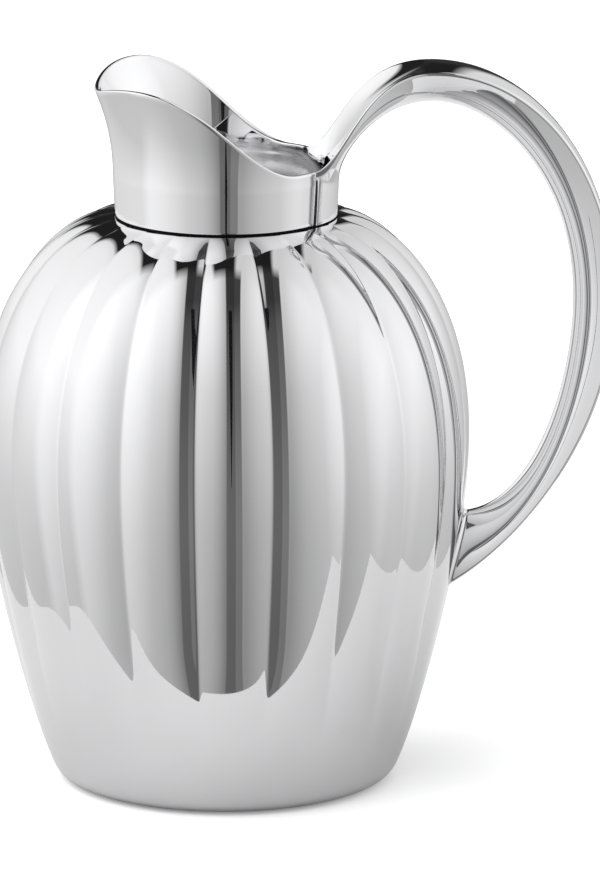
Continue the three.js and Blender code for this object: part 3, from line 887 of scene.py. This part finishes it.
table_turn = np.linspace(0, math.pi / 2, TABLE_CORNER_STEPS)
table_across = -TABLE_LEFT * np.cos(table_turn) ** (2 / TABLE_CORNER_POWER)
table_depth = -TABLE_FRONT * np.sin(table_turn) ** (2 / TABLE_CORNER_POWER)
table_edge = turned_with_camera(
    np.append(table_across, [TABLE_RIGHT, TABLE_RIGHT, -TABLE_LEFT]),
    np.append(table_depth, [-TABLE_FRONT, TABLE_BACK, TABLE_BACK]))
table_points = np.column_stack([table_edge, np.full(len(table_edge), -TABLE_DROP)])
table_paper = paper_white("table_paper", TABLE_WHITE, TABLE_GLOW)
table = stage_sheet("table", table_points, [tuple(range(len(table_points)))], table_paper)
only_in_reflections(table)

KEY_PLACE = (-0.3, -0.15, 1.2)
KEY_TILT = math.radians(15.6)
KEY_TURN = math.radians(-63.4)
KEY_SIZE = 1.6
KEY_WATTS = 15

key_light = bpy.data.lights.new("key_light", "AREA")
key_light.shape = "DISK"
key_light.size = KEY_SIZE
key_light.energy = KEY_WATTS
key = bpy.data.objects.new("key", key_light)
key.location = KEY_PLACE
key.rotation_euler = (KEY_TILT, 0, KEY_TURN)
key.visible_glossy = False
scene.collection.objects.link(key)

LIGHT_PEAK = 1.6
FRONT_LIGHT = [
    (-1, 1.35), (-0.6, 0.92), (-0.35, 0.78), (-0.22, 0.63), (-0.07, 0.38), (0.105, 0.36), (0.115, 0.54),
    (0.3, 0.52), (0.55, 0.73), (0.85, 0.9), (1, 1.2),
]
FRONT_GAP = [(-0.075, 0), (-0.06, 1), (0.232, 1), (0.245, 0)]
GAP_LIGHT = [(-0.42, 0.62), (0.17, 0.36), (0.77, 0.17), (0.9, 0.08)]
RISE = [(-0.6, 0.65), (0.3, 1.06), (0.88, 1.5), (1, 1.55)]
BACK_LIGHT = [(-1, 1.3), (-0.43, 1.11), (-0.24, 0.87), (0.24, 0.78), (1, 1.25)]
BACK_RISE = [(-0.45, 0.55), (0.17, 1)]
LOW_BACK_GAP = [(-0.16, 0), (-0.12, 0.95), (0.12, 0.95), (0.16, 0)]
HIGH_BACK_GAP = [(-0.33, 0), (-0.27, 0.98), (0.09, 0.98), (0.15, 0)]
LOW_GAP_UP_TO = 0.08
HIGH_GAP_FROM = 0.2
FRONT_TO_BACK = 0.1


def light_ramp(tree, stops, along):
    """A value over a direction from -1 to 1, straight from stop to stop."""
    ramp = tree.nodes.new("ShaderNodeValToRGB")
    elements = ramp.color_ramp.elements
    elements.remove(elements[1])
    for place, light in stops:
        share = light / LIGHT_PEAK
        elements.new((place + 1) / 2).color = (share, share, share, 1)
    elements.remove(elements[0])
    tree.links.new(math_node(tree, "MULTIPLY_ADD", along, 0.5, 0.5), ramp.inputs["Fac"])
    return math_node(tree, "MULTIPLY", ramp.outputs["Color"], LIGHT_PEAK)


def dimmed(tree, light, share, left_over):
    """A light brought down, by a share, to the part of it that is left over."""
    return math_node(tree, "MULTIPLY", light, blend_node(tree, "FLOAT", share, 1.0, left_over))


def studio_light(tree):
    """Light by direction, seen from the jug and turned with the camera. In front it is a ramp across
    times a rise from the floor up, brought down in the gap. Behind it is another ramp and rise, with
    a gap that is wider above the height of the jug."""
    turned_view = tree.nodes.new("ShaderNodeVectorRotate")
    turned_view.rotation_type = "Z_AXIS"
    turned_view.inputs["Angle"].default_value = -CAMERA_TURN
    direction = tree.nodes.new("ShaderNodeTexCoord").outputs["Generated"]
    tree.links.new(direction, turned_view.inputs["Vector"])
    parts = tree.nodes.new("ShaderNodeSeparateXYZ")
    tree.links.new(turned_view.outputs["Vector"], parts.inputs[0])
    across, away, up = parts.outputs
    front = math_node(
        tree, "MULTIPLY", light_ramp(tree, FRONT_LIGHT, across), light_ramp(tree, RISE, up))
    front = dimmed(
        tree, front, light_ramp(tree, FRONT_GAP, across), light_ramp(tree, GAP_LIGHT, up))
    high_up = step_node(tree, up, LOW_GAP_UP_TO, HIGH_GAP_FROM)
    low_gap = light_ramp(tree, LOW_BACK_GAP, across)
    back_gap = blend_node(tree, "FLOAT", high_up, low_gap, light_ramp(tree, HIGH_BACK_GAP, across))
    back = math_node(
        tree, "MULTIPLY", light_ramp(tree, BACK_LIGHT, across), light_ramp(tree, BACK_RISE, up))
    back = dimmed(tree, back, back_gap, 0.0)
    behind = step_node(tree, away, -FRONT_TO_BACK, FRONT_TO_BACK)
    return blend_node(tree, "FLOAT", behind, front, back)


world = bpy.data.worlds.new("studio")
world.use_nodes = True
sky = world.node_tree
sky.nodes.clear()
all_round = sky.nodes.new("ShaderNodeBackground")
sky.links.new(studio_light(sky), all_round.inputs["Strength"])
all_round.inputs["Color"].default_value = (1, 1, 1, 1)
white = sky.nodes.new("ShaderNodeBackground")
white.inputs["Color"].default_value = (1, 1, 1, 1)
pick = sky.nodes.new("ShaderNodeMixShader")
sky.links.new(sky.nodes.new("ShaderNodeLightPath").outputs["Is Camera Ray"], pick.inputs["Fac"])
sky.links.new(all_round.outputs[0], pick.inputs[1])
sky.links.new(white.outputs[0], pick.inputs[2])
output = sky.nodes.new("ShaderNodeOutputWorld")
sky.links.new(pick.outputs[0], output.inputs["Surface"])
scene.world = world

ROD_FRONT = 0.075
ROD_FOOT = 0.056
ROD_TOP = 0.16
ROD_FOOT_EDGES = (0.0022, 0.0026)
ROD_TOP_EDGES = (-0.0002, 0.0065)
ROD_BLACK = 0.015


def black_paper(name):
    """Black paper that gives back hardly any light."""
    material = bpy.data.materials.new(name)
    material.use_nodes = True
    tree = material.node_tree
    tree.nodes.clear()
    diffuse = tree.nodes.new("ShaderNodeBsdfDiffuse")
    diffuse.inputs["Color"].default_value = (ROD_BLACK, ROD_BLACK, ROD_BLACK, 1)
    output = tree.nodes.new("ShaderNodeOutputMaterial")
    tree.links.new(diffuse.outputs[0], output.inputs["Surface"])
    return material


rod_across = np.array(ROD_FOOT_EDGES + ROD_TOP_EDGES)
rod_points = np.column_stack([
    turned_with_camera(rod_across, np.full(4, -ROD_FRONT)), [ROD_FOOT, ROD_FOOT, ROD_TOP, ROD_TOP],
])
rod = stage_sheet("dark_rod", rod_points, [(0, 1, 3, 2)], black_paper("rod_paper"))
only_in_reflections(rod)
